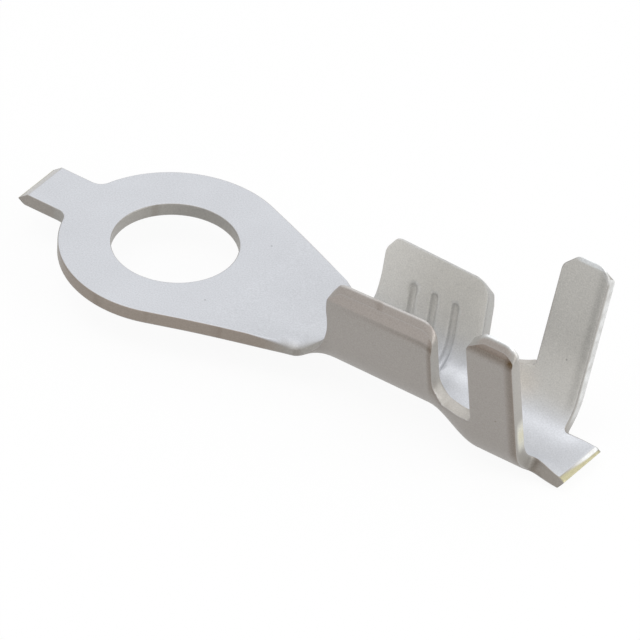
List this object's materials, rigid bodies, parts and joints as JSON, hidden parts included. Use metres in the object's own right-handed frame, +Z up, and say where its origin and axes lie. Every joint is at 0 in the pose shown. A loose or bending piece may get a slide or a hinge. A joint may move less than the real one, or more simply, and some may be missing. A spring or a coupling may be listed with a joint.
{
  "type": "ring terminal",
  "caption": "Flat ring tongue with a stud hole, an open wire barrel with floor serrations, an open insulation barrel and a short tail tab, folded from plated strip.",
  "frame": {"origin": "centre of the stud hole, on the underside of the tongue", "axes": "+X along the terminal from the ring to the tail, +Z up, the way the barrel wings stand"},
  "size_m": [0.0225, 0.0078, 0.0065],
  "materials": {
    "tin_plated_brass": "satin tin plate over brass, bare brass on the cut ends"
  },
  "bodies": {
    "root": {"ring_terminal": "tin_plated_brass"}
  },
  "joints": []
}
